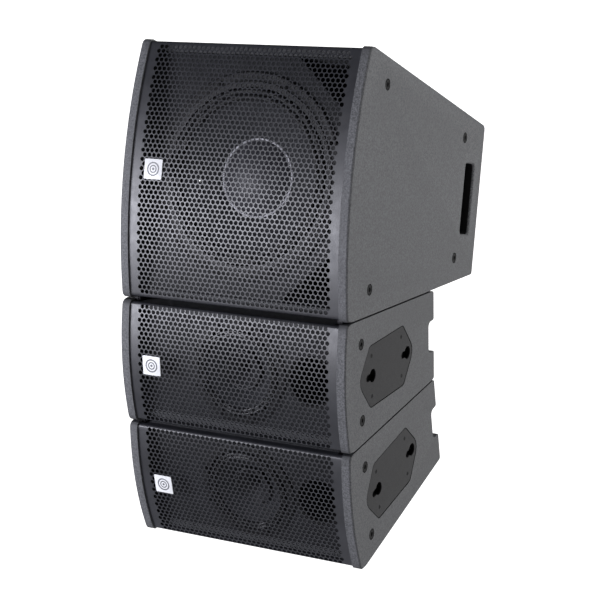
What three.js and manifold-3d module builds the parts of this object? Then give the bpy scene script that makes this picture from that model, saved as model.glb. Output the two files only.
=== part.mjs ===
// A flown loudspeaker column: one 15-inch bass cabinet above two 8-inch full-range cabinets.
// Millimetres. +X is the listener's right, -Y is the front and +Z is up.
// Each cabinet is drawn in a frame of its own: y runs back from the chord of its curved front,
// and z runs up from its bottom front corner. The column's origin is the middle of the bass
// cabinet's top panel, where the column is hung.
import * as THREE from "three";
import { mergeVertices } from "three/addons/utils/BufferGeometryUtils.js";
import Module from "manifold-3d";

const wasm = await Module();
wasm.setup();

// ---- Driving dimensions -----------------------------------------------------------------------

const WIDTH = 480;
const SIDE = 18; // side panel
const PANEL = 15; // top, bottom and rear panels
const PROUD = 4; // how far the side panels stand out past the grille and the other panels
const FIT = 0.3; // gap between pieces that touch
const CABINET_GAP = 3; // between neighbouring side panels
const FRONT_ROUND = 12; // side panel's front corners
const REAR_ROUND = 5; // side panel's rear corners
const BASS_TOP_ROUND = 10; // the bass cabinet's top rear corner

// bulge is how far the curved front stands out from its chord. bay is how far the rear panel's
// outer face lies inside the rear edge.
const BASS = { height: 494, rear: 309, depth: 580, bulge: 33.5, bay: PROUD, arcSteps: 18 };
const FULL = { height: 246, rear: 182, depth: 386, bulge: 13.6, bay: 80, arcSteps: 12 };

const GRILLE = { thick: 1.5, lipEnd: 20, cornerRound: 6 };
const BAFFLE = { front: 22, thick: 18 };
const BADGE = { width: 39, height: 38, thick: 1.6, x: -173 };

const HAND_SLOT = { y: 517.5, width: 47, height: 145, round: 8 };
// The closed box behind the hand slots, from one side panel to the other.
const HANDLE_BOX = { front: 488, back: 553, halfHeight: 84, wall: 6 };
const BASS_BOLTS = [[80, 61], [80, 433], [475, 369], [475, 125]];
const FULL_BOLTS = [[54, 50], [54, 196]];
const BOLT = { head: 10.5, headThick: 2.4, shank: 4 };
const BOLT_ROOM = 0.3; // radial room round a bolt's head and shank

const REAR_NOTCH = { height: 64, floor: 360, inner: 10, outer: 4 };
const CARRY_BAR = { y: 356, radius: 11 };

// The flush steel plate with two keyholes in each side of a full-range cabinet.
const KEY_PLATE = { y: 163.5, thick: 3.4, flatHalf: 74, tipHalf: 122.5, halfHeight: 59 };
const KEY_PLATE_ROUND = { tip: 25, corner: 12 };
const KEYHOLES = [101, 257]; // y of each entry hole
const KEYHOLE = { entry: 12.5, slot: 6.5, reach: 21 };
const KEY_POCKET = { front: 36, back: 18, halfHeight: 16, floor: 226, round: 8 };

const BASS_DRIVER = { x: 0, cutout: 176 };
const FULL_DRIVER = { x: 0, cutout: 92 };
const PORT = { x: 154, inner: 44, outer: 47, back: 150 };
// The two triangular ports: how far the diagonal board's face is from the woofer's axis.
const CORNER_PORT = { reach: 222, board: 12, back: 200, slope: 46.6 };

// Rigging: steel plates inside the side panels, whose lugs meet on a pin between two cabinets.
const RIG = { thick: 4, outer: 221.7, strapFront: 43, strapBack: 65, endClear: 10 };
const PIVOT = { along: 24, hole: 3.8, pin: 3.5, head: 6, headThick: 2.7 };
// A lug's arm along the cabinet's edge, from below the edge to above it, and its root's reach.
const LUG = { eye: 8, below: 6, above: 6.5, reach: 40 };
const LUG_NOTCH = { inner: 207, front: 12, back: 69, outward: 20, inward: 8 };
const BASS_STRAP = { front: 68, back: 92, rearFront: 463, rearBack: 487, crossHalf: 14 };
const STRAP_END = { foot: 15, tip: 12 }; // how far the bass straps run past their bolts

const INPUT_PLATE = { width: 150, height: 78, thick: 3, round: 5 };
const SOCKET = { x: 36, inner: 13, outer: 17, depth: 17, floor: 3, room: 2 };
const BADGE_ROUND = 2;

// ---- Driver sections, as (radius, y) points of a turned profile -------------------------------

const WOOFER_FRAME_SECTION = [
  [166, 16], [194, 16], [194, 21.7], [174, 21.7], [174, 44], [88, 150],
  [60, 150], [60, 146], [86, 146], [170, 43], [170, 20], [166, 20],
];
const DRIVER_FRAME_SECTION = [
  [86, 17], [101, 17], [101, 21.7], [91, 21.7], [91, 38], [58, 92],
  [30, 92], [30, 89], [56, 89], [88, 37], [88, 21], [86, 21],
];
const HORN_SECTION = [
  [0, 92], [12, 92], [12, 66], [20, 54], [38, 38],
  [38, 35], [35, 35], [17, 51], [8, 66], [0, 66],
];
const DUST_CAP = { radius: 73, rimY: 61, dome: 25, wall: 1.5, steps: 4 };
// A magnet has a round gap, open at the front, for the voice coil former.
const WOOFER_MAGNET = { front: 150.3, back: 204, radius: 90, gapIn: 36, gapOut: 42, gapBack: 176 };
const DRIVER_MAGNET = { front: 92.3, back: 132, radius: 65, gapIn: 22.5, gapOut: 28, gapBack: 114 };
// A cone's edge is a half roll, its neck narrows to the former and its wall is thin.
const WOOFER_CONE = { edge: 163, roll: 11, rim: 18, neckY: 85, former: 40, formerBack: 165, wall: 2 };
const DRIVER_CONE = { edge: 84, roll: 7, rim: 19, neckY: 62, former: 26, formerBack: 106, wall: 1.5 };
const ROLL_STEPS = 4; // facets of a cone's half roll

const INNER = WIDTH / 2 - SIDE; // inner face of a side panel
const SPAN = INNER - FIT; // half the length of what fits between the side panels
const STRAP_INNER = RIG.outer - RIG.thick;
const ROUND = 16; // facets of a small round
const THREAD_ROUND = 8; // facets of a bolt's shank
const HOLE_ROUND = 32; // facets of a driver's cutout
const FULL_ROUND = 18; // facets of a full-range driver
const BASS_ROUND = 24; // facets of the woofer

// ---- Materials --------------------------------------------------------------------------------

const finish = (color, roughness, metalness = 0) => ({ color, roughness, metalness });
const FINISH = {
  cabinet: finish(0x5c5d5f, 0.8),
  baffle: finish(0x2a2a2c, 0.8),
  grille: finish(0x5a5b60, 0.45, 0.5),
  badge: finish(0xe6e6e6, 0.4, 0.2),
  frame: finish(0x1c1c1e, 0.5, 0.5),
  magnet: finish(0x252527, 0.6, 0.6),
  cone: finish(0x2e2e32, 0.8),
  horn: finish(0x3a3a3e, 0.4, 0.6),
  plastic: finish(0x141416, 0.7),
  plate: finish(0x3d3d3e, 0.5, 0.6),
  pin: finish(0x8a8a8c, 0.35, 0.9),
};

// ---- Solids -----------------------------------------------------------------------------------

function solid(geometry) {
  const bare = geometry.clone();
  bare.deleteAttribute("normal");
  bare.deleteAttribute("uv");
  const merged = mergeVertices(bare, 1e-4);
  const vertProperties = merged.attributes.position.array;
  const triVerts = new Uint32Array(merged.index.array);
  return new wasm.Manifold(new wasm.Mesh({ numProp: 3, vertProperties, triVerts }));
}

function geometryOf(manifold) {
  const mesh = manifold.getMesh();
  const stride = mesh.numProp;
  const positions = new Float32Array(mesh.numVert * 3);
  for (let i = 0; i < mesh.numVert; i++) {
    positions.set(mesh.vertProperties.subarray(i * stride, i * stride + 3), i * 3);
  }
  const geometry = new THREE.BufferGeometry();
  geometry.setAttribute("position", new THREE.BufferAttribute(positions, 3));
  geometry.setIndex(new THREE.BufferAttribute(mesh.triVerts, 1));
  geometry.computeVertexNormals();
  return geometry;
}

function extruded(points, length, basis) {
  const shape = new THREE.Shape(points.map(([a, b]) => new THREE.Vector2(a, b)));
  const geometry = new THREE.ExtrudeGeometry(shape, { depth: length, bevelEnabled: false });
  return geometry.applyMatrix4(basis);
}

const AXIS_X = new THREE.Vector3(1, 0, 0);
const AXIS_Y = new THREE.Vector3(0, 1, 0);
const AXIS_Z = new THREE.Vector3(0, 0, 1);

// An outline in (y, z) extruded along x.
function alongX(points, from, to) {
  const basis = new THREE.Matrix4().makeBasis(AXIS_Y, AXIS_Z, AXIS_X).setPosition(from, 0, 0);
  return solid(extruded(points, to - from, basis));
}

// An outline in (x, z) extruded along y. The basis is right-handed only with its depth towards
// -y, so the extrusion starts at the far end.
function alongY(points, from, to) {
  const basis = new THREE.Matrix4()
    .makeBasis(AXIS_X, AXIS_Z, AXIS_Y.clone().negate())
    .setPosition(0, to, 0);
  return solid(extruded(points, to - from, basis));
}

function boxOf(x, y, z) {
  const geometry = new THREE.BoxGeometry(x[1] - x[0], y[1] - y[0], z[1] - z[0]);
  return solid(geometry.translate((x[0] + x[1]) / 2, (y[0] + y[1]) / 2, (z[0] + z[1]) / 2));
}

// A rod along x.
function rodX(radius, from, to, y, z, facets = ROUND) {
  const geometry = new THREE.CylinderGeometry(radius, radius, to - from, facets);
  return solid(geometry.rotateZ(-Math.PI / 2).translate((from + to) / 2, y, z));
}

// A rod along y.
function rodY(radius, from, to, x, z, facets = ROUND) {
  const geometry = new THREE.CylinderGeometry(radius, radius, to - from, facets);
  return solid(geometry.translate(x, (from + to) / 2, z));
}

// A profile of (radius, y) points turned about an axis along y through (x, z).
function turned(profile, facets, x, z) {
  const points = profile.map(([r, y]) => new THREE.Vector2(r, y));
  if (THREE.ShapeUtils.area(points) < 0) points.reverse();
  if (points.every((p) => p.x > 0)) points.push(points[0].clone());
  return solid(new THREE.LatheGeometry(points, facets).translate(x, 0, z));
}

// Points of a round between two angles, in radians.
function arc(centreA, centreB, radius, from, to, steps) {
  return Array.from({ length: steps + 1 }, (_, i) => {
    const angle = from + ((to - from) * i) / steps;
    return [centreA + radius * Math.cos(angle), centreB + radius * Math.sin(angle)];
  });
}

// A closed outline with each corner rounded. A corner is [a, b, radius], and no radius is sharp.
function rounded(corners, steps = 3) {
  const at = (i) => new THREE.Vector2(...corners[(i + corners.length) % corners.length]);
  return corners.flatMap(([a, b, radius], i) => {
    if (!radius) return [[a, b]];
    const corner = at(i);
    const back = at(i - 1).sub(corner).normalize();
    const ahead = at(i + 1).sub(corner).normalize();
    const half = Math.acos(back.dot(ahead)) / 2;
    const inward = back.clone().add(ahead).normalize();
    const centre = corner.clone().addScaledVector(inward, radius / Math.sin(half));
    const reach = radius / Math.tan(half);
    const start = corner.clone().addScaledVector(back, reach).sub(centre).angle();
    const end = corner.clone().addScaledVector(ahead, reach).sub(centre).angle();
    const turn = Math.atan2(Math.sin(end - start), Math.cos(end - start));
    return arc(centre.x, centre.y, radius, start, start + turn, steps);
  });
}

function roundedBox(left, right, low, high, radius) {
  return rounded([
    [left, low, radius],
    [right, low, radius],
    [right, high, radius],
    [left, high, radius],
  ]);
}

// ---- A cabinet's outline ----------------------------------------------------------------------

const slopeOf = (cab) => (cab.height - cab.rear) / (2 * cab.depth);
const wedgeOf = (cab) => Math.atan(slopeOf(cab));

// Height of the bottom surface at y, for a surface that lies inset mm inside the side panel's edge.
const lowAt = (cab, y, inset) => y * slopeOf(cab) + inset * Math.hypot(1, slopeOf(cab));
const highAt = (cab, y, inset) => cab.height - lowAt(cab, y, inset);

// How far back the curved front is at height z.
function frontAt(cab, z, inset) {
  const radius = (cab.height ** 2 / 4 + cab.bulge ** 2) / (2 * cab.bulge);
  const centre = radius - cab.bulge;
  return centre - Math.sqrt((radius - inset) ** 2 - (z - cab.height / 2) ** 2);
}

// Where the curved front meets the bottom surface.
function lowCorner(cab, inset) {
  const rounds = 8; // each round comes nearer to the corner
  let y = 0;
  for (let i = 0; i < rounds; i++) y = frontAt(cab, lowAt(cab, y, inset), inset);
  return [y, lowAt(cab, y, inset)];
}

// The curved front from the top corner down to the bottom corner, with the corners' radius.
function curvedFront(cab, inset, round) {
  const [, low] = lowCorner(cab, inset);
  return Array.from({ length: cab.arcSteps + 1 }, (_, i) => {
    const z = cab.height - low - ((cab.height - 2 * low) * i) / cab.arcSteps;
    const isCorner = i === 0 || i === cab.arcSteps;
    return [frontAt(cab, z, inset), z, isCorner ? round : 0];
  });
}

// A strip along the bottom or top edge: u runs back along the edge and v runs into the cabinet.
function edgePoint(cab, u, v, isTop) {
  const wedge = wedgeOf(cab);
  const y = u * Math.cos(wedge) - v * Math.sin(wedge);
  const z = u * Math.sin(wedge) + v * Math.cos(wedge);
  return [y, isTop ? cab.height - z : z];
}

function edgeStrip(cab, u, v, isTop) {
  const corners = [[u[0], v[0]], [u[1], v[0]], [u[1], v[1]], [u[0], v[1]]];
  const points = corners.map(([along, inward]) => edgePoint(cab, along, inward, isTop));
  return isTop ? points.reverse() : points;
}

const bothSides = (make) => make(1).add(make(-1));

// Orders a pair of x values for the right side (sign 1) or the left side (sign -1).
const sided = (sign, inner, outer) => (sign > 0 ? [inner, outer] : [-outer, -inner]);

// ---- Wooden panels ----------------------------------------------------------------------------

function boltRoom(sign, bolts) {
  const [from, to] = sided(sign, INNER - 1, WIDTH / 2 + 1);
  const sunk = BOLT.headThick + BOLT_ROOM;
  const [headFrom, headTo] = sided(sign, WIDTH / 2 - sunk, WIDTH / 2 + 1);
  return bolts
    .map(([y, z]) =>
      rodX(BOLT.shank + BOLT_ROOM, from, to, y, z, THREAD_ROUND).add(
        rodX(BOLT.head + BOLT_ROOM, headFrom, headTo, y, z),
      ),
    )
    .reduce((all, one) => all.add(one));
}

function bassSide(sign) {
  const low = lowAt(BASS, BASS.depth, 0);
  const outline = rounded([
    [BASS.depth, low, REAR_ROUND],
    [BASS.depth, BASS.height - low, BASS_TOP_ROUND],
    ...curvedFront(BASS, 0, FRONT_ROUND),
  ]);
  const slot = roundedBox(
    HAND_SLOT.y - HAND_SLOT.width / 2,
    HAND_SLOT.y + HAND_SLOT.width / 2,
    (BASS.height - HAND_SLOT.height) / 2,
    (BASS.height + HAND_SLOT.height) / 2,
    HAND_SLOT.round,
  );
  return alongX(outline, ...sided(sign, INNER, WIDTH / 2))
    .subtract(alongX(slot, ...sided(sign, INNER - 1, WIDTH / 2 + 1)))
    .subtract(boltRoom(sign, BASS_BOLTS));
}

function keyPlateOutline(grow) {
  const { y, flatHalf, tipHalf, halfHeight } = KEY_PLATE;
  const { tip, corner } = KEY_PLATE_ROUND;
  const middle = FULL.height / 2;
  return rounded([
    [y - flatHalf, middle - halfHeight - grow, corner],
    [y + flatHalf, middle - halfHeight - grow, corner],
    [y + tipHalf + grow, middle, tip],
    [y + flatHalf, middle + halfHeight + grow, corner],
    [y - flatHalf, middle + halfHeight + grow, corner],
    [y - tipHalf - grow, middle, tip],
  ]);
}

function fullSide(sign) {
  const rear = lowAt(FULL, FULL.depth, 0);
  const middle = FULL.height / 2;
  const { height, floor, inner, outer } = REAR_NOTCH;
  const outline = rounded([
    [FULL.depth, rear, REAR_ROUND],
    [FULL.depth, middle - height / 2, outer],
    [floor, middle - height / 2, inner],
    [floor, middle + height / 2, inner],
    [FULL.depth, middle + height / 2, outer],
    [FULL.depth, FULL.height - rear, REAR_ROUND],
    ...curvedFront(FULL, 0, FRONT_ROUND),
  ]);
  const pocketFloor = WIDTH / 2 - KEY_PLATE.thick - 2 * FIT;
  const pocket = alongX(keyPlateOutline(FIT), ...sided(sign, pocketFloor, WIDTH / 2 + 1));
  const cavities = KEYHOLES.map((y) => {
    const { front, back, halfHeight, round } = KEY_POCKET;
    const [low, high] = [middle - halfHeight, middle + halfHeight];
    const around = roundedBox(y - front, y + back, low, high, round);
    return alongX(around, ...sided(sign, KEY_POCKET.floor, pocketFloor + 1));
  });
  return alongX(outline, ...sided(sign, INNER, WIDTH / 2))
    .subtract(pocket)
    .subtract(cavities[0])
    .subtract(cavities[1])
    .subtract(boltRoom(sign, FULL_BOLTS));
}

// Room at both ends of a panel for the lugs that meet between two cabinets.
function lugRoom(cab, isTop) {
  const { inner, front, back, outward, inward } = LUG_NOTCH;
  const strip = edgeStrip(cab, [front, back], [-outward, PROUD + PANEL + inward], isTop);
  return bothSides((sign) => alongX(strip, ...sided(sign, inner, INNER + 1)));
}

function flatPanel(cab, isTop, hasLugs) {
  const front = GRILLE.lipEnd + FIT;
  const back = cab.depth - PROUD;
  const bottom = [
    [front, lowAt(cab, front, PROUD)],
    [back, lowAt(cab, back, PROUD)],
    [back, lowAt(cab, back, PROUD + PANEL)],
    [front, lowAt(cab, front, PROUD + PANEL)],
  ];
  const outline = isTop ? bottom.map(([y, z]) => [y, cab.height - z]).reverse() : bottom;
  const panel = alongX(outline, -SPAN, SPAN);
  return hasLugs ? panel.subtract(lugRoom(cab, isTop)) : panel;
}

// An upright board between the top and bottom panels.
function uprightBoard(cab, front, thick, halfWidth) {
  const inset = PROUD + PANEL + FIT;
  const back = front + thick;
  const outline = [
    [front, lowAt(cab, front, inset)],
    [back, lowAt(cab, back, inset)],
    [back, highAt(cab, back, inset)],
    [front, highAt(cab, front, inset)],
  ];
  return alongX(outline, -halfWidth, halfWidth);
}

const bayFloor = (cab) => cab.depth - cab.bay;

function rearPanel(cab) {
  const front = bayFloor(cab) - PANEL;
  const middle = cab.height / 2;
  const halfWidth = SOCKET.x + SOCKET.outer + SOCKET.room;
  const halfHeight = SOCKET.outer + SOCKET.room;
  const cutout = boxOf(
    [-halfWidth, halfWidth],
    [front - 1, front + PANEL + 1],
    [middle - halfHeight, middle + halfHeight],
  );
  return uprightBoard(cab, front, PANEL, SPAN).subtract(cutout);
}

// A square tube behind the hand slots, so that the slots don't open the cabinet.
function handleBox() {
  const { front, back, halfHeight, wall } = HANDLE_BOX;
  const middle = BASS.height / 2;
  return boxOf([-SPAN, SPAN], [front, back], [middle - halfHeight, middle + halfHeight]).subtract(
    boxOf(
      [-SPAN - 1, SPAN + 1],
      [front + wall, back - wall],
      [middle - halfHeight + wall, middle + halfHeight - wall],
    ),
  );
}

// The upper right triangle that lies outside a diagonal line, reach mm from the woofer's axis.
function cornerTriangle(reach) {
  const angle = THREE.MathUtils.degToRad(CORNER_PORT.slope);
  const middle = BASS.height / 2;
  const far = BASS.height;
  // On the diagonal, x cos(angle) + (z - middle) sin(angle) = reach.
  const xAtTop = (reach - (far - middle) * Math.sin(angle)) / Math.cos(angle);
  const zAtSide = middle + (reach - far * Math.cos(angle)) / Math.sin(angle);
  return [[xAtTop, far], [far, zAtSide], [far, far]];
}

const mirroredInHeight = (points) => points.map(([x, z]) => [x, BASS.height - z]).reverse();

function bassBaffle() {
  const { front, thick } = BAFFLE;
  const through = [front - 1, front + thick + 1];
  const upper = cornerTriangle(CORNER_PORT.reach);
  return uprightBoard(BASS, front, thick, SPAN)
    .subtract(rodY(BASS_DRIVER.cutout, ...through, BASS_DRIVER.x, BASS.height / 2, HOLE_ROUND))
    .subtract(alongY(upper, ...through))
    .subtract(alongY(mirroredInHeight(upper), ...through));
}

// A diagonal board behind the baffle that makes a corner into a port.
function portBoard(isUpper) {
  const front = BAFFLE.front + BAFFLE.thick + FIT;
  const outer = cornerTriangle(CORNER_PORT.reach - CORNER_PORT.board);
  const inner = cornerTriangle(CORNER_PORT.reach);
  const strip = [outer[0], outer[1], inner[1], inner[0]];
  const outline = isUpper ? strip : mirroredInHeight(strip);
  const inside = uprightBoard(BASS, front, CORNER_PORT.back - front, STRAP_INNER - FIT);
  return alongY(outline, front, CORNER_PORT.back).intersect(inside);
}

function fullBaffle() {
  const { front, thick } = BAFFLE;
  const through = [front - 1, front + thick + 1];
  const middle = FULL.height / 2;
  return uprightBoard(FULL, front, thick, SPAN)
    .subtract(rodY(FULL_DRIVER.cutout, ...through, FULL_DRIVER.x, middle, HOLE_ROUND))
    .subtract(rodY(PORT.outer + FIT, ...through, PORT.x, middle));
}

// ---- Grille and badge -------------------------------------------------------------------------

// A curved steel sheet whose top and bottom edges turn back as lips.
function grille(cab, lugsAtTop, lugsAtBottom) {
  const outline = (lipEnd, inset, round) => {
    const low = lowAt(cab, lipEnd, inset);
    return rounded([[lipEnd, low], [lipEnd, cab.height - low], ...curvedFront(cab, inset, round)]);
  };
  const { thick, lipEnd, cornerRound } = GRILLE;
  const outer = outline(lipEnd, PROUD, cornerRound);
  const inner = outline(lipEnd + 1, PROUD + thick, cornerRound - thick);
  let shell = alongX(outer, -SPAN, SPAN).subtract(alongX(inner, -SPAN - 1, SPAN + 1));
  if (lugsAtTop) shell = shell.subtract(lugRoom(cab, true));
  if (lugsAtBottom) shell = shell.subtract(lugRoom(cab, false));
  return shell;
}

function badge(cab) {
  const middle = cab.height / 2;
  const back = frontAt(cab, middle, PROUD) - FIT;
  const left = BADGE.x - BADGE.width / 2;
  const low = middle - BADGE.height / 2;
  const outline = roundedBox(left, left + BADGE.width, low, low + BADGE.height, BADGE_ROUND);
  return alongY(outline, back - BADGE.thick, back);
}

// ---- Drivers ----------------------------------------------------------------------------------

// A driver's place: its axis is along y through x, at the middle of its cabinet's height.
const BASS_AXIS = [BASS_ROUND, BASS_DRIVER.x, BASS.height / 2];
const FULL_AXIS = [FULL_ROUND, FULL_DRIVER.x, FULL.height / 2];

function magnet({ front, back, radius, gapIn, gapOut, gapBack }, axis) {
  const section = [
    [0, front], [gapIn, front], [gapIn, gapBack], [gapOut, gapBack],
    [gapOut, front], [radius, front], [radius, back], [0, back],
  ];
  return turned(section, ...axis);
}

// A cone with its surround roll and its voice coil former, as one thin shell.
function cone({ edge, roll, rim, neckY, former, formerBack, wall }, axis) {
  const rollCentre = edge - roll;
  const inEdge = edge - 2 * roll;
  const section = [
    ...arc(rollCentre, rim, roll, 0, -Math.PI, ROLL_STEPS),
    [former - wall, neckY],
    [former - wall, formerBack],
    [former, formerBack],
    [former, neckY + wall],
    [inEdge + wall / 2, rim + wall],
    ...arc(rollCentre, rim, roll - wall, -Math.PI, 0, ROLL_STEPS),
    [edge - wall, rim + wall],
    [edge, rim + wall],
  ];
  return turned(section, ...axis);
}

function dustCap() {
  const { radius: rim, rimY, dome, wall, steps } = DUST_CAP;
  const sphere = (rim ** 2 + dome ** 2) / (2 * dome);
  const centre = rimY - dome + sphere;
  const reach = Math.asin(rim / sphere);
  const outer = Array.from({ length: steps + 1 }, (_, i) => {
    const angle = (reach * i) / steps;
    return [sphere * Math.sin(angle), centre - sphere * Math.cos(angle)];
  });
  const inner = outer.map(([r, y]) => [Math.max(r - (wall * r) / rim, 0), y + wall]).reverse();
  return turned([...outer, ...inner], ...BASS_AXIS);
}

function portTube() {
  const front = BAFFLE.front - 1;
  const { inner, outer, back, x } = PORT;
  return turned(
    [[inner, front], [outer, front], [outer, back], [inner, back]],
    ROUND,
    x,
    FULL.height / 2,
  );
}

// ---- Rear fittings ----------------------------------------------------------------------------

// A plate over the rear panel's cutout, with two round cable sockets sunk into the cabinet.
function inputPlate(cab) {
  const { width, height, thick, round } = INPUT_PLATE;
  const middle = cab.height / 2;
  const near = bayFloor(cab) + FIT;
  const far = near + thick;
  const bottom = far - SOCKET.depth;
  const [low, high] = [middle - height / 2, middle + height / 2];
  let plate = alongY(roundedBox(-width / 2, width / 2, low, high, round), near, far);
  for (const x of [-SOCKET.x, SOCKET.x]) {
    plate = plate
      .add(rodY(SOCKET.outer, bottom - SOCKET.floor, far - 1, x, middle))
      .subtract(rodY(SOCKET.inner, bottom, far + 1, x, middle));
  }
  return plate;
}

const carryBar = () => rodX(CARRY_BAR.radius, -SPAN, SPAN, CARRY_BAR.y, FULL.height / 2);

function keyPlate(sign) {
  const [from, to] = sided(sign, WIDTH / 2 - KEY_PLATE.thick - FIT, WIDTH / 2 - FIT);
  const middle = FULL.height / 2;
  const { entry, slot, reach } = KEYHOLE;
  let plate = alongX(keyPlateOutline(0), from, to);
  for (const y of KEYHOLES) {
    const slotOutline = [
      [y, middle - slot],
      [y, middle + slot],
      ...arc(y - reach, middle, slot, Math.PI / 2, (3 * Math.PI) / 2, 4),
    ];
    plate = plate
      .subtract(rodX(entry, from - 1, to + 1, y, middle))
      .subtract(alongX(slotOutline, from - 1, to + 1));
  }
  return plate;
}

// ---- Rigging ----------------------------------------------------------------------------------

const pivotAt = (cab, isTop) => edgePoint(cab, PIVOT.along, -CABINET_GAP / 2, isTop);

// A lug that reaches past the cabinet's edge to the pin, drawn between two x values.
function lug(cab, isTop, from, to, depth) {
  const [y, z] = pivotAt(cab, isTop);
  const { strapFront, strapBack } = RIG;
  const arm = edgeStrip(cab, [PIVOT.along, strapBack], [-LUG.below, LUG.above], isTop);
  const root = [
    [strapFront, lowAt(cab, strapFront, 0)],
    [strapBack, lowAt(cab, strapBack, 0)],
    [strapBack, depth],
    [strapFront, depth],
  ];
  const upright = isTop ? root.map(([a, b]) => [a, cab.height - b]).reverse() : root;
  return alongX(arm, from, to)
    .add(alongX(upright, from, to))
    .add(rodX(LUG.eye, from, to, y, z));
}

const pinHole = (cab, isTop) => {
  const [y, z] = pivotAt(cab, isTop);
  return bothSides((sign) => rodX(PIVOT.hole, ...sided(sign, LUG_NOTCH.inner, INNER), y, z));
};

function boltsOf(sign, bolts) {
  const outer = WIDTH / 2 - FIT;
  return bolts
    .map(([y, z]) =>
      rodX(BOLT.shank, ...sided(sign, RIG.outer - 1, outer), y, z, THREAD_ROUND).add(
        rodX(BOLT.head, ...sided(sign, outer - BOLT.headThick + FIT, outer), y, z),
      ),
    )
    .reduce((all, one) => all.add(one));
}

// The bass cabinet's rigging plate: two straps, a cross strap and the lug at its bottom.
function bassRig(sign) {
  const [from, to] = sided(sign, STRAP_INNER, RIG.outer);
  const [, low] = BASS_BOLTS[0];
  const [, high] = BASS_BOLTS[1];
  const [, rearHigh] = BASS_BOLTS[2];
  const [, rearLow] = BASS_BOLTS[3];
  const { front, back, rearFront, rearBack, crossHalf } = BASS_STRAP;
  const { foot, tip } = STRAP_END;
  const middle = BASS.height / 2;
  return boxOf([from, to], [front, back], [low - foot, high + tip])
    .add(boxOf([from, to], [rearFront, rearBack], [rearLow - tip, rearHigh + tip]))
    .add(boxOf([from, to], [front, rearBack], [middle - crossHalf, middle + crossHalf]))
    .add(boxOf([from, to], [RIG.strapFront, back], [low - foot, low + foot]))
    .add(lug(BASS, false, from, to, low))
    .add(boltsOf(sign, BASS_BOLTS))
    .subtract(pinHole(BASS, false));
}

// A full-range cabinet's rigging plate. Its top lug lies inside the upper cabinet's lug on the pin.
function fullRig(sign, hasBottomLug) {
  const [from, to] = sided(sign, STRAP_INNER, RIG.outer);
  const [lugFrom, lugTo] = sided(sign, STRAP_INNER - FIT - RIG.thick, STRAP_INNER - FIT);
  const strap = [RIG.strapFront, RIG.strapBack];
  const end = PROUD + PANEL + RIG.endClear;
  const step = sided(sign, STRAP_INNER - 1, STRAP_INNER + 1);
  const plate = boxOf([from, to], strap, [end, FULL.height - end])
    .add(lug(FULL, true, lugFrom, lugTo, LUG.reach))
    .add(boxOf(step, strap, [FULL.height - LUG.reach, FULL.height - end]))
    .add(boltsOf(sign, FULL_BOLTS))
    .subtract(pinHole(FULL, true));
  if (!hasBottomLug) return plate;
  return plate.add(lug(FULL, false, from, to, LUG.reach)).subtract(pinHole(FULL, false));
}

function pivotPin(cab, sign) {
  const [y, z] = pivotAt(cab, false);
  const lugInner = STRAP_INNER - FIT - RIG.thick;
  const shank = sided(sign, lugInner - 1, RIG.outer);
  const head = sided(sign, lugInner - FIT - PIVOT.headThick, lugInner - FIT);
  return rodX(PIVOT.pin, ...shank, y, z).add(rodX(PIVOT.head, ...head, y, z));
}

// ---- Assembly ---------------------------------------------------------------------------------

function add(group, name, manifold, look) {
  const material = new THREE.MeshStandardMaterial(FINISH[look]);
  const mesh = new THREE.Mesh(geometryOf(manifold), material);
  mesh.name = name;
  group.add(mesh);
}

const SIDES = [["left", -1], ["right", 1]];

function bassCabinet() {
  const group = new THREE.Group();
  for (const [side, sign] of SIDES) {
    add(group, `sub_side_${side}`, bassSide(sign), "cabinet");
    add(group, `sub_fly_frame_${side}`, bassRig(sign), "plate");
    add(group, `sub_splay_pin_${side}`, pivotPin(BASS, sign), "pin");
  }
  add(group, "sub_top_panel", flatPanel(BASS, true, false), "cabinet");
  add(group, "sub_bottom_panel", flatPanel(BASS, false, true), "cabinet");
  add(group, "sub_rear_panel", rearPanel(BASS), "cabinet");
  add(group, "sub_baffle", bassBaffle(), "baffle");
  add(group, "sub_port_board_upper", portBoard(true), "baffle");
  add(group, "sub_port_board_lower", portBoard(false), "baffle");
  add(group, "sub_handle_box", handleBox(), "plastic");
  add(group, "sub_grille", grille(BASS, false, true), "grille");
  add(group, "sub_badge", badge(BASS), "badge");
  add(group, "sub_woofer_frame", turned(WOOFER_FRAME_SECTION, ...BASS_AXIS), "frame");
  add(group, "sub_woofer_magnet", magnet(WOOFER_MAGNET, BASS_AXIS), "magnet");
  add(group, "sub_woofer_cone", cone(WOOFER_CONE, BASS_AXIS), "cone");
  add(group, "sub_dust_cap", dustCap(), "cone");
  add(group, "sub_input_plate", inputPlate(BASS), "plastic");
  return group;
}

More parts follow.
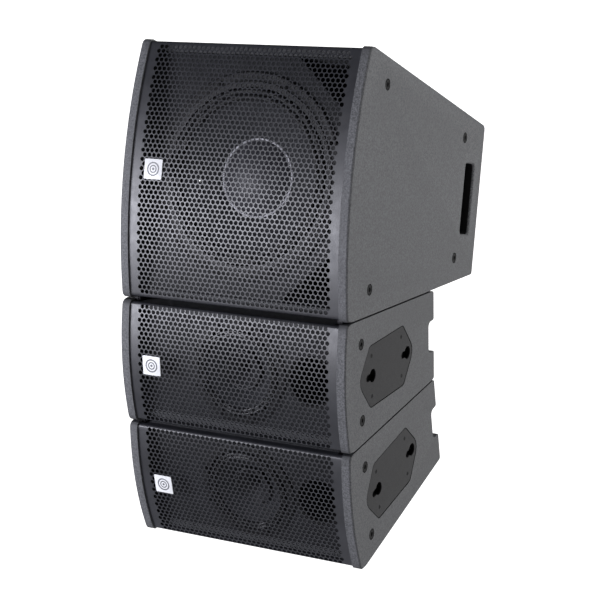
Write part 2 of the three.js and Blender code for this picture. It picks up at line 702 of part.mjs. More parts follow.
function fullCabinet(prefix, isLowest) {
  const group = new THREE.Group();
  for (const [side, sign] of SIDES) {
    add(group, `${prefix}_side_${side}`, fullSide(sign), "cabinet");
    add(group, `${prefix}_keyhole_plate_${side}`, keyPlate(sign), "plate");
    add(group, `${prefix}_rig_frame_${side}`, fullRig(sign, !isLowest), "plate");
    if (!isLowest) add(group, `${prefix}_splay_pin_${side}`, pivotPin(FULL, sign), "pin");
  }
  add(group, `${prefix}_top_panel`, flatPanel(FULL, true, true), "cabinet");
  add(group, `${prefix}_bottom_panel`, flatPanel(FULL, false, !isLowest), "cabinet");
  add(group, `${prefix}_rear_panel`, rearPanel(FULL), "cabinet");
  add(group, `${prefix}_baffle`, fullBaffle(), "baffle");
  add(group, `${prefix}_grille`, grille(FULL, true, !isLowest), "grille");
  add(group, `${prefix}_badge`, badge(FULL), "badge");
  add(group, `${prefix}_driver_frame`, turned(DRIVER_FRAME_SECTION, ...FULL_AXIS), "frame");
  add(group, `${prefix}_driver_magnet`, magnet(DRIVER_MAGNET, FULL_AXIS), "magnet");
  add(group, `${prefix}_driver_cone`, cone(DRIVER_CONE, FULL_AXIS), "cone");
  // The coaxial horn stands on the magnet's centre pole and flares in front of the cone.
  add(group, `${prefix}_hf_horn`, turned(HORN_SECTION, ...FULL_AXIS), "horn");
  add(group, `${prefix}_port_tube`, portTube(), "plastic");
  add(group, `${prefix}_carry_bar`, carryBar(), "plate");
  add(group, `${prefix}_input_plate`, inputPlate(FULL), "plastic");
  return group;
}

// A cabinet-frame point as (y, z) in the column, for a cabinet turned about X and then moved.
function columnPoint([y, z], turn, place) {
  const cos = Math.cos(turn);
  const sin = Math.sin(turn);
  return [y * cos - z * sin + place[0], y * sin + z * cos + place[1]];
}

// Turns a group about X and moves one of its points onto a point of the column.
function hangAt(group, turn, point, target) {
  const [y, z] = columnPoint(point, turn, [0, 0]);
  const place = [target[0] - y, target[1] - z];
  group.rotation.x = turn;
  group.position.set(0, ...place);
  return place;
}

const column = new THREE.Group();
const bass = bassCabinet();
const mid = fullCabinet("mid", false);
const low = fullCabinet("low", true);
column.add(bass, mid, low);

// The cabinets close up along their wedge faces: the bass cabinet's bottom and the middle
// cabinet's top are level, and each next cabinet looks further down.
const bassTurn = -wedgeOf(BASS);
const midTurn = wedgeOf(FULL);
const lowTurn = 3 * midTurn;

const topMiddle = (GRILLE.lipEnd + FIT + BASS.depth - PROUD) / 2;
const bassPlace = hangAt(bass, bassTurn, [topMiddle, highAt(BASS, topMiddle, PROUD)], [0, 0]);
const bassCorner = columnPoint([0, 0], bassTurn, bassPlace);
const topCorner = [0, FULL.height];
const midTarget = [bassCorner[0], bassCorner[1] - CABINET_GAP];
const midPlace = hangAt(mid, midTurn, topCorner, midTarget);
const midCorner = columnPoint([0, 0], midTurn, midPlace);
const lowTarget = [
  midCorner[0] + CABINET_GAP * Math.sin(2 * midTurn),
  midCorner[1] - CABINET_GAP * Math.cos(2 * midTurn),
];
hangAt(low, lowTurn, topCorner, lowTarget);

export default column;
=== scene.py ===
import math

import bmesh
import bpy
from mathutils import Matrix, Vector


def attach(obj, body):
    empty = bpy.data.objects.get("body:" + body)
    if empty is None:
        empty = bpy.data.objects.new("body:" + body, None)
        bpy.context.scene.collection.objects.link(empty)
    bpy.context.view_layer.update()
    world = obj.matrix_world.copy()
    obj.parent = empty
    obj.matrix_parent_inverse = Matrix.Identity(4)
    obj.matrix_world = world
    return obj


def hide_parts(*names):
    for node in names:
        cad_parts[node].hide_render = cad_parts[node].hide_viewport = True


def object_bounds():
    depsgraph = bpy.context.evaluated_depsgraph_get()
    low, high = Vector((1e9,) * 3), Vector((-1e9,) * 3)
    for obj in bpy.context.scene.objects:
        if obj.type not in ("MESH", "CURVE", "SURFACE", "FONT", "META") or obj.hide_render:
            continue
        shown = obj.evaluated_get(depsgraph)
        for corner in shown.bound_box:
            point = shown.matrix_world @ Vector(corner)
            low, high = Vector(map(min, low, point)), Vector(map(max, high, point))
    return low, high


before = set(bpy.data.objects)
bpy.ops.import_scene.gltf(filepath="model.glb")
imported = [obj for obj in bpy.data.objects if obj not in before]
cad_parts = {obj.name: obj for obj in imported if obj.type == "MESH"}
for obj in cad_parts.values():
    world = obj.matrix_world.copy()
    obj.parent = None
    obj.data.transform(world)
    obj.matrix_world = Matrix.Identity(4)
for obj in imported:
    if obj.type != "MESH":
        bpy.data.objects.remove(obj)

CAD_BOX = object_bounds()

# ---- Dimensions in millimetres, the same as in the CAD source ------------------------------------

MM = 0.001
WIDTH, SIDE, PROUD, FIT, CABINET_GAP = 480.0, 18.0, 4.0, 0.3, 3.0
FACE = WIDTH / 2  # a side panel's outer face
SPAN = FACE - SIDE - FIT  # half the room between the side panels
OUTER = FACE - FIT  # outer face of the bolts and the keyhole plates
LIP_END = 20.0  # where the grille's turned edges end
SHEET, BEND = 1.5, 6.0  # the grille's thickness and its bends' radius
BASS_BOLTS = [(80, 61), (80, 433), (475, 369), (475, 125)]
FULL_BOLTS = [(54, 50), (54, 196)]
PLATE_Y, PLATE_Z = 163.5, 123.0  # a keyhole plate's middle
POCKET_Y, POCKET_Z = 124.5, 61.0  # half the size of the pocket round it
SCREW_Y, SCREW_Z = 66, 39  # from the plate's middle to its screws
PLATE_SCREWS = [(PLATE_Y + a, PLATE_Z + b) for a in (-SCREW_Y, SCREW_Y) for b in (-SCREW_Z, SCREW_Z)]
SLOT_Y, SLOT_Z = (494.0, 541.0), (174.5, 319.5)  # the hand slot's edges
PORT_X = 154.0  # the round port's axis
SIDES = (("left", -1), ("right", 1))


class Cabinet:
    """A cabinet's outline in its own frame: y runs back, z runs up from the bottom front corner."""

    def __init__(self, name, height, rear, depth, bulge, rear_face):
        self.name, self.height, self.depth, self.bulge = name, height, depth, bulge
        self.rear_face = rear_face
        self.slope = (height - rear) / (2 * depth)
        self.wedge = math.atan(self.slope)
        self.middle = height / 2

    def low_at(self, y, inset):
        return y * self.slope + inset * math.hypot(1, self.slope)

    def front_at(self, z, inset):
        radius = (self.height**2 / 4 + self.bulge**2) / (2 * self.bulge)
        return radius - self.bulge - math.sqrt((radius - inset) ** 2 - (z - self.middle) ** 2)

    def low_corner(self, inset):
        y = 0.0
        for _ in range(8):
            y = self.front_at(self.low_at(y, inset), inset)
        return y, self.low_at(y, inset)

    def hang(self, turn, point, target):
        """Turns the cabinet about X and puts one of its points on a point of the column."""
        y, z = turned_point(turn, *point)
        self.turn, self.place = turn, (target[0] - y, target[1] - z)
        move = Matrix.Translation((0, self.place[0] * MM, self.place[1] * MM))
        self.matrix = move @ Matrix.Rotation(turn, 4, "X") @ Matrix.Scale(MM, 4)

    def at(self, y, z):
        a, b = turned_point(self.turn, y, z)
        return a + self.place[0], b + self.place[1]


def turned_point(turn, y, z):
    c, s = math.cos(turn), math.sin(turn)
    return y * c - z * s, y * s + z * c


SUB = Cabinet("sub", 494.0, 309.0, 580.0, 33.5, 576.0)
MID = Cabinet("mid", 246.0, 182.0, 386.0, 13.6, 306.0)
LOW = Cabinet("low", 246.0, 182.0, 386.0, 13.6, 306.0)
panel_middle = (LIP_END + FIT + SUB.depth - PROUD) / 2
SUB.hang(-SUB.wedge, (panel_middle, SUB.height - SUB.low_at(panel_middle, PROUD)), (0, 0))
corner = SUB.at(0, 0)
MID.hang(MID.wedge, (0, MID.height), (corner[0], corner[1] - CABINET_GAP))
corner = MID.at(0, 0)
gap_y, gap_z = CABINET_GAP * math.sin(2 * MID.wedge), CABINET_GAP * math.cos(2 * MID.wedge)
LOW.hang(3 * MID.wedge, (0, LOW.height), (corner[0] + gap_y, corner[1] - gap_z))
FULL_RANGE = (MID, LOW)
CABINETS = (SUB, MID, LOW)

# ---- Materials -----------------------------------------------------------------------------------


def set_range(node, low, high, to_low, to_high):
    for name, number in (("From Min", low), ("From Max", high), ("To Min", to_low), ("To Max", to_high)):
        node.inputs[name].default_value = number


class Nodes:
    """A material's node tree, with short calls for the nodes used here."""

    def __init__(self, name, roughness=0.5, metallic=0.0, specular=0.5):
        self.material = bpy.data.materials.new(name)
        self.material.use_nodes = True
        self.tree = self.material.node_tree
        self.shader = self.tree.nodes["Principled BSDF"]
        self.shader.inputs["Roughness"].default_value = roughness
        self.shader.inputs["Metallic"].default_value = metallic
        self.shader.inputs["Specular IOR Level"].default_value = specular
        self.coords = self.tree.nodes.new("ShaderNodeTexCoord").outputs["Object"]

    def link(self, source, target):
        self.tree.links.new(source, target)

    def noise(self, scale, detail=4.0, rough=0.55):
        node = self.tree.nodes.new("ShaderNodeTexNoise")
        node.inputs["Scale"].default_value = scale
        node.inputs["Detail"].default_value = detail
        node.inputs["Roughness"].default_value = rough
        self.link(self.coords, node.inputs["Vector"])
        return node.outputs["Fac"]

    def pebbles(self, scale):
        node = self.tree.nodes.new("ShaderNodeTexVoronoi")
        node.feature = "SMOOTH_F1"
        node.inputs["Scale"].default_value = scale
        self.link(self.coords, node.inputs["Vector"])
        return node.outputs["Distance"]

    def ranged(self, value, low, high, to_low, to_high, soft=False):
        node = self.tree.nodes.new("ShaderNodeMapRange")
        node.interpolation_type = "SMOOTHSTEP" if soft else "LINEAR"
        set_range(node, low, high, to_low, to_high)
        self.link(value, node.inputs["Value"])
        return node.outputs["Result"]

    def math(self, operation, a, b):
        node = self.tree.nodes.new("ShaderNodeMath")
        node.operation = operation
        for socket, value in zip(node.inputs, (a, b)):
            if isinstance(value, (int, float)):
                socket.default_value = value
            else:
                self.link(value, socket)
        return node.outputs[0]

    def mix(self, factor, a, b):
        node = self.tree.nodes.new("ShaderNodeMix")
        node.data_type = "RGBA"
        self.link(factor, node.inputs["Factor"])
        for socket, value in ((node.inputs[6], a), (node.inputs[7], b)):
            if isinstance(value, tuple):
                socket.default_value = (*value, 1.0)
            else:
                self.link(value, socket)
        return node.outputs[2]

    def edges(self, start=0.53, end=0.62):
        """0 on flat surfaces and 1 where the surface turns over an edge."""
        geometry = self.tree.nodes.new("ShaderNodeNewGeometry")
        return self.ranged(geometry.outputs["Pointiness"], start, end, 0.0, 1.0)

    def bump(self, height, strength, distance):
        node = self.tree.nodes.new("ShaderNodeBump")
        node.inputs["Strength"].default_value = strength
        node.inputs["Distance"].default_value = distance
        self.link(height, node.inputs["Height"])
        self.link(node.outputs["Normal"], self.shader.inputs["Normal"])

    def finish(self, colour, roughness):
        self.link(colour, self.shader.inputs["Base Color"])
        self.link(roughness, self.shader.inputs["Roughness"])
        return self.material


def scaled(colour, factor):
    return tuple(min(1.0, c * factor) for c in colour)


def grained(name, colour, grain, spread=0.25, rough=(0.5, 0.65), bump=(0.3, 0.0002), wear=1.6, wear_share=0.5,
            metallic=0.0, specular=0.5, cloud=9.0):
    """A coated surface: two scales of colour change, a rough grain, and paler worn edges."""
    m = Nodes(name, metallic=metallic, specular=specular)
    fine, broad = m.noise(grain), m.noise(cloud, 2.0)
    both = m.math("ADD", m.math("MULTIPLY", fine, 0.65), m.math("MULTIPLY", broad, 0.35))
    tone = m.ranged(both, 0.36, 0.64, 0.0, 1.0)
    body = m.mix(tone, scaled(colour, 1 - spread), scaled(colour, 1 + spread))
    worn = m.math("MULTIPLY", m.edges(), m.ranged(m.noise(grain / 6), 0.4, 0.6, 0.0, wear_share))
    m.bump(fine, *bump)
    return m.finish(m.mix(worn, body, scaled(colour, wear)), m.ranged(fine, 0.3, 0.7, *rough))


def textured_paint(name, colour, specular):
    """A fine raised pebble over plywood, with pale specks where it is rubbed; darker along the edges, which
    is painted shade.
    """
    m = Nodes(name, specular=specular)
    pebble, speck, broad = m.pebbles(420.0), m.noise(340.0, 3.0, 0.7), m.noise(5.0, 3.0)
    height = m.math("ADD", m.math("MULTIPLY", pebble, 0.8), m.math("MULTIPLY", speck, 0.6))
    fine = m.mix(m.ranged(speck, 0.37, 0.63, 0.0, 1.0), scaled(colour, 0.42), scaled(colour, 1.58))
    body = m.mix(m.ranged(broad, 0.3, 0.7, 0.0, 0.3), fine, scaled(colour, 0.86))
    # painted shade: the colour is darkened where the surface turns over a rounded edge
    body = m.mix(m.edges(0.505, 0.56), body, scaled(colour, 0.5))
    worn = m.math("MULTIPLY", m.edges(0.53, 0.62), m.ranged(m.noise(130.0), 0.5, 0.62, 0.0, 0.4))
    m.bump(height, 0.6, 0.0007)
    return m.finish(m.mix(worn, body, scaled(colour, 1.5)), m.ranged(speck, 0.3, 0.7, 0.45, 0.7))


def powder_coat():
    """Satin powder coat on perforated steel: a shallow orange peel under a soft gloss."""
    colour = (0.019, 0.0198, 0.0245)
    m = Nodes("grille_powder_coat", specular=0.62)
    peel, broad = m.noise(1300.0, 2.0), m.noise(14.0, 3.0)
    body = m.mix(m.ranged(broad, 0.35, 0.65, 0.0, 1.0), scaled(colour, 0.85), scaled(colour, 1.2))
    worn = m.math("MULTIPLY", m.edges(0.56, 0.7), m.ranged(m.noise(90.0), 0.45, 0.62, 0.0, 0.3))
    m.bump(peel, 0.12, 0.0001)
    return m.finish(m.mix(worn, body, scaled(colour, 2.2)), m.ranged(m.noise(60.0), 0.3, 0.7, 0.36, 0.45))


def pressed_paper(name, colour, rough):
    """Cone paper: long soft fibres over a fine tooth."""
    m = Nodes(name, specular=0.35)
    stretch = m.tree.nodes.new("ShaderNodeMapping")
    stretch.inputs["Scale"].default_value = (1.0, 0.35, 1.6)
    m.link(m.coords, stretch.inputs["Vector"])
    plain, m.coords = m.coords, stretch.outputs["Vector"]
    fibre = m.noise(420.0, 6.0, 0.7)
    m.coords = plain
    tooth = m.noise(1600.0, 2.0)
    body = m.mix(m.ranged(fibre, 0.34, 0.66, 0.0, 1.0), scaled(colour, 0.66), scaled(colour, 1.4))
    m.bump(m.math("ADD", fibre, m.math("MULTIPLY", tooth, 0.5)), 0.4, 0.0003)
    return m.finish(body, m.ranged(fibre, 0.3, 0.7, *rough))


PAINT = textured_paint("cabinet_paint", (0.132, 0.1345, 0.142), 0.22)
# dark paint for the baffles; also painted shade on the side panels' edges that meet the next cabinet
BAFFLE_PAINT_AND_JOINT_SHADE = textured_paint("baffle_paint", (0.038, 0.039, 0.043), 0.16)
COAT = powder_coat()
# black paint for the parts inside the cabinets; also black painted shade in the side panels' hand slots,
# plate pockets and bolt holes and on the keyhole plates' edges
BLACK = grained("inner_black_paint", (0.008, 0.008, 0.0085), 700.0, rough=(0.75, 0.9), wear=2.0, specular=0.2)
WHITE = grained("badge_white", (0.78, 0.79, 0.8), 260.0, spread=0.04, rough=(0.3, 0.42),
                bump=(0.06, 0.0001), wear=0.8)
DEVICE = grained("badge_grey", (0.13, 0.135, 0.15), 300.0, spread=0.12, rough=(0.35, 0.5),
                 bump=(0.05, 0.0001), wear=1.5)
FRAME_BLACK = grained("frame_enamel", (0.011, 0.011, 0.0125), 500.0, rough=(0.5, 0.65),
                      bump=(0.12, 0.0001), wear=2.0, specular=0.3)
FERRITE = grained("ferrite", (0.035, 0.035, 0.038), 900.0, spread=0.3, rough=(0.55, 0.75),
                  bump=(0.4, 0.0003))
RUBBER = grained("surround_rubber", (0.016, 0.016, 0.018), 900.0, rough=(0.2, 0.32),
                 bump=(0.06, 0.0001), wear=1.4, specular=0.7)
CLOTH = grained("surround_cloth", (0.018, 0.018, 0.02), 700.0, rough=(0.5, 0.7), bump=(0.3, 0.0003), wear=1.4)
CONE = pressed_paper("cone_paper", (0.025, 0.026, 0.03), (0.6, 0.8))
CAP = pressed_paper("dust_cap_paper", (0.044, 0.044, 0.053), (0.4, 0.58))
# a pale colour for the bead round the dust cap's rim
PALE_BEAD = grained("pale_cap_bead", (0.46, 0.46, 0.5), 260.0, spread=0.5, rough=(0.3, 0.5),
               bump=(0.3, 0.0003), wear=1.3)
HORN = grained("horn_satin", (0.02, 0.02, 0.023), 800.0, spread=0.2, rough=(0.5, 0.62),
               bump=(0.06, 0.0001), wear=2.0, specular=0.3)
RIM = grained("horn_rim", (0.03, 0.03, 0.034), 700.0, spread=0.12, rough=(0.42, 0.55),
              bump=(0.05, 0.0001), wear=2.0)
PLASTIC = grained("port_plastic", (0.009, 0.009, 0.0095), 900.0, spread=0.3, rough=(0.6, 0.78),
                  bump=(0.3, 0.0002), wear=2.2, specular=0.3)
CONNECTOR = grained("connector_plastic", (0.018, 0.018, 0.02), 700.0, spread=0.2, rough=(0.38, 0.52),
                    bump=(0.12, 0.0001), wear=2.0)
STEEL = grained("rigging_coat", (0.0125, 0.0122, 0.0142), 420.0, spread=0.16, rough=(0.48, 0.6),
                bump=(0.15, 0.00015), wear=2.4, wear_share=0.6, specular=0.17)
BOLT_BLACK = grained("bolt_black", (0.004, 0.004, 0.0045), 600.0, spread=0.2, rough=(0.5, 0.65),
                     bump=(0.12, 0.0001), wear=3.0, specular=0.1)
ZINC = grained("bright_zinc", (0.55, 0.55, 0.53), 500.0, spread=0.12, rough=(0.24, 0.38),
               bump=(0.1, 0.0001), wear=1.2, metallic=1.0)
BRASS = grained("contact_brass", (0.6, 0.45, 0.2), 500.0, spread=0.12, rough=(0.25, 0.4),
                bump=(0.1, 0.0001), wear=1.2, metallic=1.0)

# ---- Mesh building -------------------------------------------------------------------------------


class Shape:
    """Vertices in a cabinet's own millimetres and faces, each with a material number."""

    def __init__(self):
        self.verts, self.faces, self.marks = [], [], []

    def add(self, verts, faces, mark=0):
        start = len(self.verts)
        self.verts += [tuple(v) for v in verts]
        self.faces += [tuple(start + i for i in f) for f in faces]
        self.marks += [mark] * len(faces)

    def rings(self, rings, mark=0, cap_first=False, cap_last=False, joined=False):
        """Joins rings of equally many points. The caps close the first and last ring."""
        count = len(rings[0])
        faces = []
        pairs = list(zip(range(len(rings)), range(1, len(rings))))
        if joined:
            pairs.append((len(rings) - 1, 0))
        for a, b in pairs:
            for i in range(count):
                j = (i + 1) % count
                faces.append((a * count + i, a * count + j, b * count + j, b * count + i))
        if cap_first:
            faces.append(tuple(reversed(range(count))))
        if cap_last:
            faces.append(tuple((len(rings) - 1) * count + i for i in range(count)))
        self.add([p for ring in rings for p in ring], faces, mark)

    def turned(self, section, x, z, steps, mark=0, joined=False, cap=False):
        """A section of (radius, y) points turned about an axis along y."""
        rings = []
        for r, y in section:
            angles = [2 * math.pi * i / steps for i in range(steps)]
            rings.append([(x + r * math.cos(a), y, z + r * math.sin(a)) for a in angles])
        self.rings(rings, mark, joined=joined, cap_last=cap)

    def build(self, name, cab, materials, slot, body=None, replaces=(), smooth=50.0):
        mesh = bpy.data.meshes.new(name)
        mesh.from_pydata(self.verts, [], self.faces)
        mesh.polygons.foreach_set("material_index", self.marks)
        bm = bmesh.new()
        bm.from_mesh(mesh)
        bmesh.ops.recalc_face_normals(bm, faces=bm.faces)
        bm.to_mesh(mesh)
        bm.free()
        placed(name, cab, mesh, materials, body, replaces, smooth)


def placed(name, cab, mesh, materials, body=None, replaces=(), smooth=50.0):
    """Makes an object of a mesh in a cabinet's own millimetres, and lets it ride on its body."""
    mesh.transform(cab.matrix)
    mesh.polygons.foreach_set("use_smooth", [True] * len(mesh.polygons))
    mesh.set_sharp_from_angle(angle=math.radians(smooth))
    for material in materials:
        mesh.materials.append(material)
    obj = bpy.data.objects.new(name, mesh)
    bpy.context.scene.collection.objects.link(obj)
    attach(obj, body or cab.name + "_cabinet")
    if replaces:
        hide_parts(*replaces)
    return obj


FLAT_ANGLE, SHARP_ANGLE = math.radians(0.8), math.radians(48)


def refined(node, cab, materials, bevel, segments=3, edit=None, mark=None, soften=()):
    """A CAD node's own shape with rounded edges: edit changes the shape before they are rounded,
    soften lists (test, radius, steps, clamp) for wider rounds, and mark gives a face's material number."""
    bm = bmesh.new()
    bm.from_mesh(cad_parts[node].data)
    bm.transform(cab.matrix.inverted())
    bmesh.ops.remove_doubles(bm, verts=bm.verts, dist=0.01)
    if edit:
        edit(bm)
    across = [v.co.x for v in bm.verts]
    inner, outer = min(across), max(across)
    bmesh.ops.dissolve_limit(bm, angle_limit=FLAT_ANGLE, verts=bm.verts, edges=bm.edges)
    for test, radius, steps, clamp in (*soften, (lambda edge: True, bevel, segments, True)):
        sharp = [e for e in bm.edges if e.is_manifold and e.calc_face_angle() > SHARP_ANGLE and test(e)]
        if sharp:
            bmesh.ops.bevel(bm, geom=sharp, offset=radius, offset_type="OFFSET", segments=steps, profile=0.5,
                            affect="EDGES", clamp_overlap=clamp)
    for v in bm.verts:
        v.co.x = min(max(v.co.x, inner), outer)  # a wide round can push the shape past its own faces
    bm.normal_update()
    if mark:
        for face in bm.faces:
            face.material_index = mark(face)
    mesh = bpy.data.meshes.new(node + "_finished")
    bm.to_mesh(mesh)
    bm.free()
    obj = placed(node + "_finished", cab, mesh, materials, replaces=(node,))
    modifier = obj.modifiers.new("weighted", "WEIGHTED_NORMAL")
    modifier.keep_sharp = True  # the large faces stay flat beside the small ones of a rounded edge


def linspace(a, b, count):
    return [a + (b - a) * i / (count - 1) for i in range(count)]


def half_roll(inner, outer, y, height, steps):
    """A raised roll between two radii, towards the front."""
    centre, reach = (inner + outer) / 2, (outer - inner) / 2
    angles = [math.pi * i / steps for i in range(steps + 1)]
    return [(centre - reach * math.cos(a), y - height * math.sin(a)) for a in angles]


def thick_section(front, wall):
    """A closed section whose back lies a wall behind its front line."""
    return front + [(r, y + wall) for r, y in reversed(front)]


# ---- Grilles -------------------------------------------------------------------------------------

PITCH, HOLE = 10.0, 4.2  # the holes' spacing and radius
ROW = PITCH * math.sqrt(3) / 2  # between two rows of holes
TIP = PITCH / math.sqrt(3)  # from a hole's centre to a corner of the hexagon round it
HOLE_STEPS, COLUMNS = 12, 41
LAST_ROW = 2.0  # how far past a bend's end the outermost row of holes may lie
NOTCH_X, NOTCH_Y = 207.0, 12.0  # where the turned edges are cut back for the rigging lugs
FRONT_STEPS, BEND_STEPS, BEND_SEAMS = 120, 8, 7


class SheetPath:
    """The grille's outer face as a path from the bottom lip round the front to the top lip."""

    def __init__(self, cab):
        low = cab.low_corner(PROUD)
        start = (LIP_END, cab.low_at(LIP_END, PROUD))
        reach = BEND * 1.1
        span = linspace(low[1], cab.height - low[1], FRONT_STEPS + 1)
        front = [(cab.front_at(z, PROUD), z) for z in span]
        inner = [p for p in front if low[1] + reach < p[1] < cab.height - low[1] - reach]
        bend = self.bend(start, low, inner[0])
        half = [start] + bend
        other = [(y, cab.height - z) for y, z in reversed(half)]
        self.points = half + inner + other
        self.at_length = [0.0]
        for a, b in zip(self.points, self.points[1:]):
            self.at_length.append(self.at_length[-1] + math.dist(a, b))
        middle = self.at_length[-1] / 2
        self.at_length = [s - middle for s in self.at_length]
        self.end = self.at_length[-1]
        self.bend_from = self.at_length[1]
        self.bend_to = self.at_length[len(bend)]
        self.notch = self.end - (LIP_END - NOTCH_Y) / math.cos(cab.wedge)

    @staticmethod
    def bend(before, corner, after):
        """An arc of the bend's radius between two straight runs."""
        a = (Vector(before) - Vector(corner)).normalized()
        b = (Vector(after) - Vector(corner)).normalized()
        half = a.angle(b) / 2
        centre = Vector(corner) + (a + b).normalized() * (BEND / math.sin(half))
        first = Vector(corner) + a * (BEND / math.tan(half)) - centre
        last = Vector(corner) + b * (BEND / math.tan(half)) - centre
        turn = first.angle_signed(last)
        made = []
        for i in range(BEND_STEPS + 1):
            p = centre + Matrix.Rotation(-turn * i / BEND_STEPS, 2) @ first
            made.append((p.x, p.y))
        return made

    def sample(self, s):
        """The point at a length along the path, and the direction out of the sheet."""
        lengths = self.at_length
        low, high = 0, len(lengths) - 1
        while high - low > 1:
            half = (low + high) // 2
            low, high = (half, high) if lengths[half] <= s else (low, half)
        a, b = Vector(self.points[low]), Vector(self.points[high])
        part = min(1.0, max(0.0, (s - lengths[low]) / (lengths[high] - lengths[low])))
        along = (b - a).normalized()
        before = self.points[max(low - 1, 0)]
        after = self.points[min(high + 1, len(lengths) - 1)]
        there = (a - Vector(before)).normalized() if low else along
        ahead = (Vector(after) - b).normalized() if high < len(lengths) - 1 else along
        tangent = (there + along).lerp(along + ahead, part).normalized()
        return a.lerp(b, part), (-tangent.y, tangent.x)


def hole_row(row):
    """The holes' places across the sheet: every other row is one hole shorter."""
    count = COLUMNS - row % 2
    return [(i - (count - 1) / 2) * PITCH for i in range(count)]


def flat_net(rows, end):
    """The unfolded sheet, its holes in a hexagonal net: x runs across it and s along the grille's path."""
    bm, known = bmesh.new(), {}

    def vert(x, s):
        key = (round(x, 3), round(s, 3))
        if key not in known:
            known[key] = bm.verts.new((x, s, 0))
        return known[key]

    def ring(x, s, radius, steps):
        angles = [math.radians(30 + 360 * k / steps) for k in range(steps)]
        return [vert(x + radius * math.cos(a), s + radius * math.sin(a)) for a in angles]

    def quad(corners, flipped):
        made = [vert(x, s) for x, s in corners]
        bm.faces.new(made[::-1] if flipped else made)

    left_edge, right_edge = [], []
    for row in range(-rows, rows + 1):
        s, holes = row * ROW, hole_row(row)
        for x in holes:
            hexagon, hole = ring(x, s, TIP, 6), ring(x, s, HOLE, HOLE_STEPS)
            for k in range(6):
                near, mid, far = hole[2 * k], hole[2 * k + 1], hole[(2 * k + 2) % HOLE_STEPS]
                here, there = hexagon[k], hexagon[(k + 1) % 6]
                for corners in ((here, mid, near), (here, there, mid), (there, far, mid)):
                    bm.faces.new(corners)
        for edge, x in ((left_edge, holes[0] - PITCH / 2), (right_edge, holes[-1] + PITCH / 2)):
            edge += [(x, s - TIP / 2), (x, s + TIP / 2)]
    for edge, side in ((left_edge, -1), (right_edge, 1)):
        full = [(edge[0][0], -end), *edge, (edge[-1][0], end)]
        for (x1, s1), (x2, s2) in zip(full, full[1:]):
            quad(((side * SPAN, s1), (x1, s1), (x2, s2), (side * SPAN, s2)), side > 0)
    holes = hole_row(rows)
    for sign in (-1, 1):
        s = sign * rows * ROW
        tips = [(holes[0] - PITCH / 2, s + sign * TIP / 2)]
        for x in holes:
            tips += [(x, s + sign * TIP), (x + PITCH / 2, s + sign * TIP / 2)]
        for (x1, s1), (x2, s2) in zip(tips, tips[1:]):
            quad(((x1, s1), (x2, s2), (x2, sign * end), (x1, sign * end)), sign < 0)
    return bm


def folded(bm, path):
    """The flat net laid on the path, with a second face behind it and walls along every open edge."""
    bm.verts.index_update()
    outer, inner = [], []
    for v in bm.verts:
        point, out = path.sample(v.co.y)
        outer.append((v.co.x, point.x, point.y))
        inner.append((v.co.x, point.x - SHEET * out[0], point.y - SHEET * out[1]))
    count = len(outer)
    faces = []
    for face in bm.faces:
        loop = [v.index for v in face.verts]
        faces += [loop, [count + i for i in reversed(loop)]]
    for edge in bm.edges:
        if len(edge.link_loops) == 1:
            loop = edge.link_loops[0]
            a, b = loop.vert.index, loop.link_loop_next.vert.index
            faces.append([b, a, count + a, count + b])
    bm.free()
    shape = Shape()
    shape.add(outer + inner, faces)
    return shape


def perforated(cab, lugs_at_top, lugs_at_bottom):
    """A sheet of round holes, with seams along its bends and cut back where the lugs pass it."""
    path = SheetPath(cab)
    bm = flat_net(int((LAST_ROW - path.bend_to) // ROW), path.end)
    across, along = (1, 0, 0), (0, 1, 0)
    seams = linspace(path.bend_from, path.bend_to, BEND_SEAMS)
    cuts = [((0, sign * s, 0), along) for s in seams for sign in (-1, 1)]
    cuts += [((0, sign * path.notch, 0), along) for sign in (-1, 1)]
    cuts += [((sign * NOTCH_X, 0, 0), across) for sign in (-1, 1)]
    for point, normal in cuts:
        everything = bm.verts[:] + bm.edges[:] + bm.faces[:]
        bmesh.ops.bisect_plane(bm, geom=everything, dist=1e-4, plane_co=point, plane_no=normal)
    gone = []
    for face in bm.faces:
        centre = face.calc_center_median()
        at_lug = abs(centre.x) > NOTCH_X and abs(centre.y) > path.notch
        if at_lug and (lugs_at_top if centre.y > 0 else lugs_at_bottom):
            gone.append(face)
    bmesh.ops.delete(bm, geom=gone, context="FACES")
    return folded(bm, path)


for cab, at_top, at_bottom in ((SUB, False, True), (MID, True, True), (LOW, True, False)):
    sheet = perforated(cab, at_top, at_bottom)
    sheet.build(cab.name + "_perforated_grille", cab, [COAT], "grille_steel",
                replaces=(cab.name + "_grille",), smooth=62.0)

# ---- Panels, boards and rigging: the CAD shapes with rounded edges -------------------------------


NEAR = 0.5  # how far a point may lie from the face or slot it belongs to
FRONT_DEEP, BOLT_HOLE, JOINT_EDGE = 9, 12, 1.5
# the panels' paint, black painted shade in recesses, and darker painted shade on the joint edges
SIDE_MATERIALS = [PAINT, BLACK, BAFFLE_PAINT_AND_JOINT_SHADE]


def outside(point):
    return abs(point.x) > FACE - NEAR


def in_slot(point):
    in_y = SLOT_Y[0] - NEAR < point.y < SLOT_Y[1] + NEAR
    return in_y and SLOT_Z[0] - NEAR < point.z < SLOT_Z[1] + NEAR


def in_pocket(point):
    return abs(point.y - PLATE_Y) < POCKET_Y and abs(point.z - PLATE_Z) < POCKET_Z


def edge_middle(edge):
    return (edge.verts[0].co + edge.verts[1].co) / 2


def slot_mouth(edge):
    """The hand slot's edge on a side panel's outer face."""
    middle = edge_middle(edge)
    return in_slot(middle) and outside(middle)


def pocket_rim(edge):
    """The edge of the pocket that a keyhole plate lies in."""
    middle = edge_middle(edge)
    return in_pocket(middle) and outside(middle)


def front_rim(cab):
    """The front edge of a side panel's outer face, which is rounded over more than the others."""
    def test(edge):
        middle = edge_middle(edge)
        deep = middle.y - cab.front_at(min(max(middle.z, 0), cab.height), 0)
        return outside(middle) and deep < FRONT_DEEP
    return test


